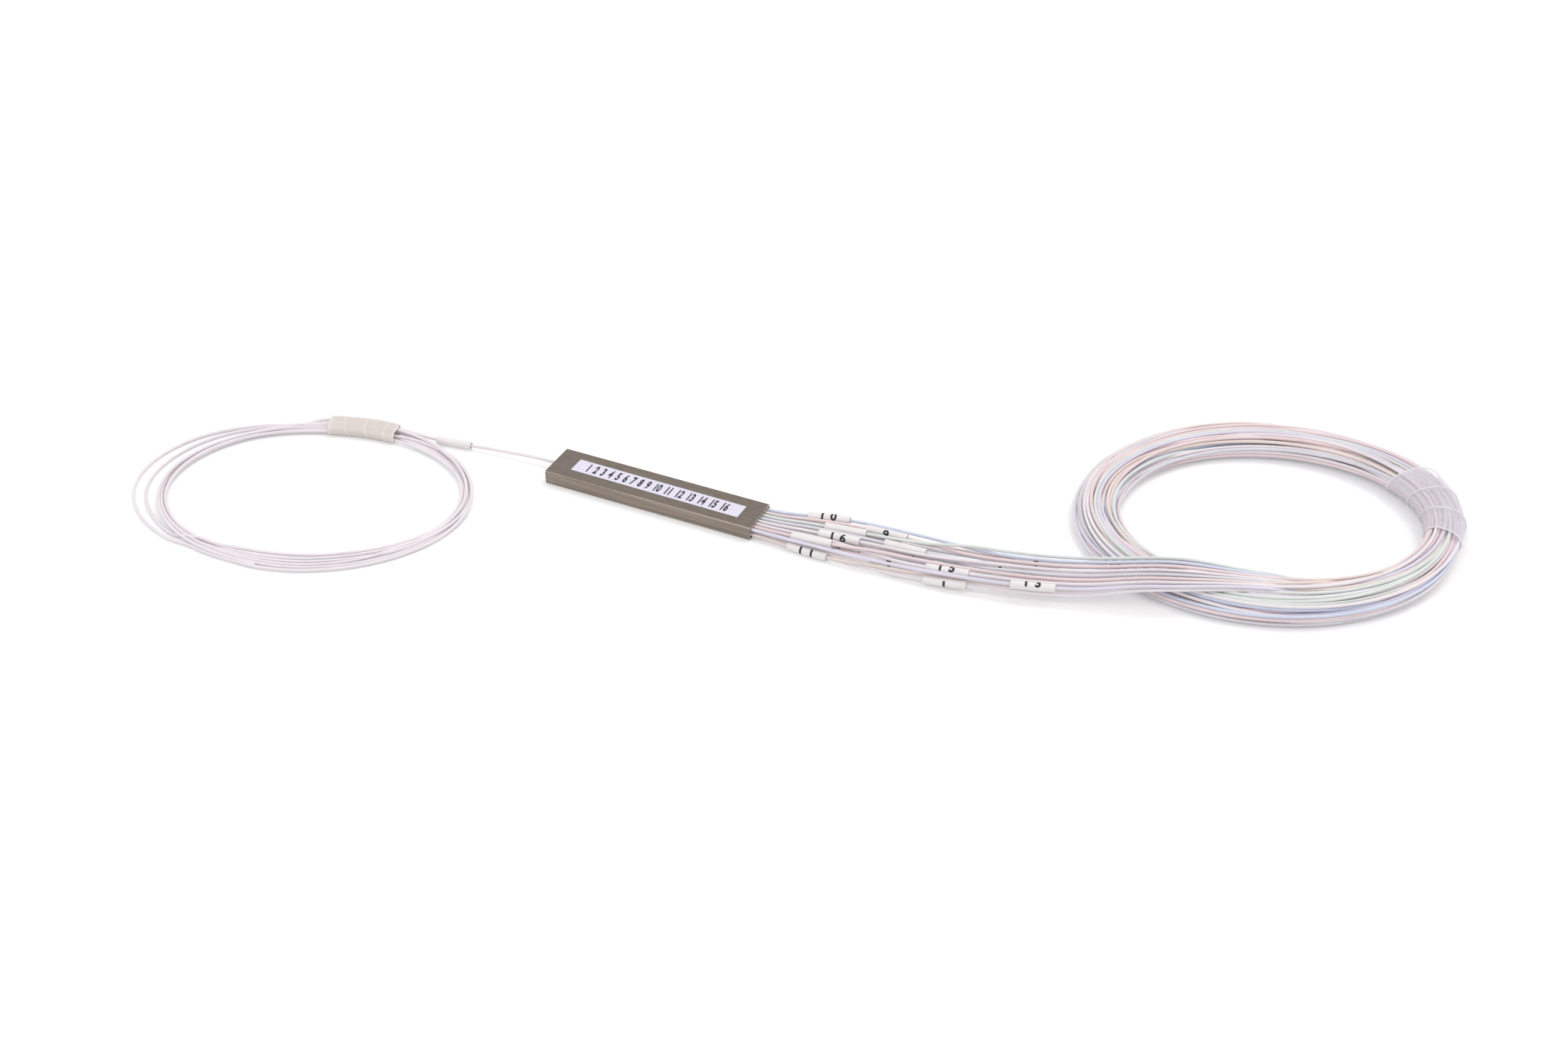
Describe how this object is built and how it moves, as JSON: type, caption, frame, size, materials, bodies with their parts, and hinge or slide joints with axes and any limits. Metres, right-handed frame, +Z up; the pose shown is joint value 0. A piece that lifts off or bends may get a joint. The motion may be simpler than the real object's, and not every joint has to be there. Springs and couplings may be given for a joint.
{
  "type": "plc fibre splitter",
  "caption": "Slim steel optical splitter module with a coiled input fibre and two rows of number-sleeved output fibres wound into a wrapped coil.",
  "frame": {"origin": "centre of the bottom face of the flat steel housing", "axes": "+X along the housing towards the output fibres, +Y to the back, +Z up out of the face that it lies on"},
  "size_m": [0.3263, 0.1732, 0.0092],
  "materials": {
    "steel": "satin, fine grain along the tube",
    "label_film": "matt printed film",
    "silicone": "soft clear gel",
    "silicon": "polished",
    "block_glass": "clear, polished ends",
    "coated_fibre": "clear acrylate coating",
    "holder_plastic": "moulded black",
    "epoxy": "cured black resin",
    "tube_white": "translucent, slightly glossy",
    "tube_pink": "translucent, slightly glossy",
    "tube_blue": "translucent, slightly glossy",
    "tube_green": "translucent, slightly glossy",
    "tube_lavender": "translucent, slightly glossy",
    "tube_grey": "translucent, slightly glossy",
    "tube_sand": "translucent, slightly glossy",
    "sleeve_plastic": "white print tube",
    "number_ink": "printed digits",
    "clear_wrap": "clear spiral film",
    "clear_tape": "clear tape"
  },
  "bodies": {
    "root": {"housing_shell": "steel", "label": "label_film", "chip_bed": "silicone", "splitter_chip": "silicon", "chip_input_cover": "block_glass", "chip_output_cover": "block_glass", "input_fibre_block": "block_glass", "input_fibre_lid": "block_glass", "output_fibre_block": "block_glass", "output_fibre_lid": "block_glass", "input_bare_fibre": "coated_fibre", "upper_ribbon": "coated_fibre", "lower_ribbon": "coated_fibre", "input_tube_holder": "holder_plastic", "output_tube_holder": "holder_plastic", "input_seal": "epoxy", "output_seal": "epoxy", "input_lead": "tube_white", "input_coil": "tube_white", "input_sleeve": "sleeve_plastic", "input_coil_tape": "clear_tape", "output_coil": "tube_white", "output_coil_wrap": "clear_wrap", "output_lead_01": "tube_white", "number_sleeve_01": "sleeve_plastic", "output_lead_02": "tube_pink", "number_sleeve_02": "sleeve_plastic", "output_lead_03": "tube_lavender", "number_sleeve_03": "sleeve_plastic", "output_lead_04": "tube_white", "number_sleeve_04": "sleeve_plastic", "output_lead_05": "tube_green", "number_sleeve_05": "sleeve_plastic", "output_lead_06": "tube_grey", "number_sleeve_06": "sleeve_plastic", "output_lead_07": "tube_pink", "number_sleeve_07": "sleeve_plastic", "output_lead_08": "tube_sand", "number_sleeve_08": "sleeve_plastic", "output_lead_09": "tube_pink", "number_sleeve_09": "sleeve_plastic", "output_lead_10": "tube_blue", "number_sleeve_10": "sleeve_plastic", "output_lead_11": "tube_sand", "number_sleeve_11": "sleeve_plastic", "output_lead_12": "tube_green", "number_sleeve_12": "sleeve_plastic", "output_lead_13": "tube_lavender", "number_sleeve_13": "sleeve_plastic", "output_lead_14": "tube_grey", "number_sleeve_14": "sleeve_plastic", "output_lead_15": "tube_white", "number_sleeve_15": "sleeve_plastic", "output_lead_16": "tube_white", "number_sleeve_16": "sleeve_plastic"}
  },
  "joints": []
}
